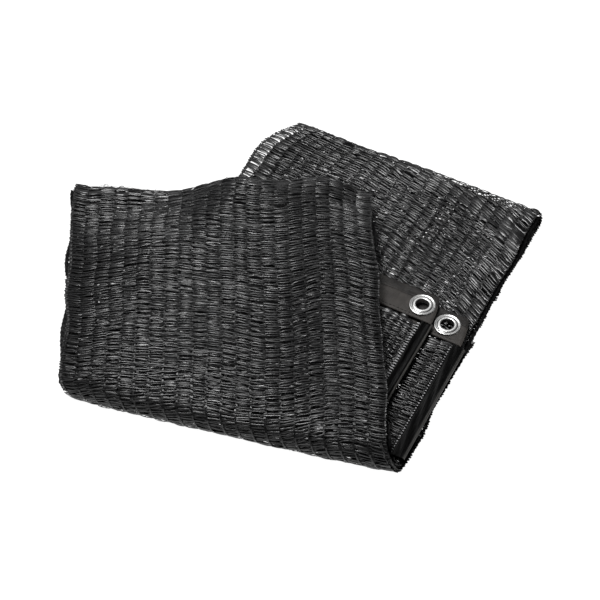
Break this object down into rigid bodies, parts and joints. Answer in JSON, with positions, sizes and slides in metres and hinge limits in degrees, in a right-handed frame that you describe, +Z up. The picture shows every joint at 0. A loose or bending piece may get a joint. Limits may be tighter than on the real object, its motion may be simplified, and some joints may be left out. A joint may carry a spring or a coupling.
{
  "type": "folded shade cloth",
  "caption": "Black knitted shade net with taped ends and metal eyelets, folded to a layered strip and folded once more over a slanting crease.",
  "frame": {"origin": "on the floor, under the middle of the folded cloth's bounding box", "axes": "+X to the right along the folded cloth's longest extent, +Y away from the crease, +Z up"},
  "size_m": [0.38, 0.3574, 0.0419],
  "materials": {
    "net": "black knitted polyethylene tape net, slightly glossy",
    "tape": "brownish black woven edge tape, semi-matt",
    "eyelet": "bright nickel-plated metal"
  },
  "bodies": {
    "root": {"net": "net", "upper_end_tape": "tape", "upper_side_tape": "tape", "upper_eyelet": "eyelet", "lower_end_tape": "tape", "lower_side_tape": "tape", "lower_eyelet": "eyelet"}
  },
  "joints": []
}
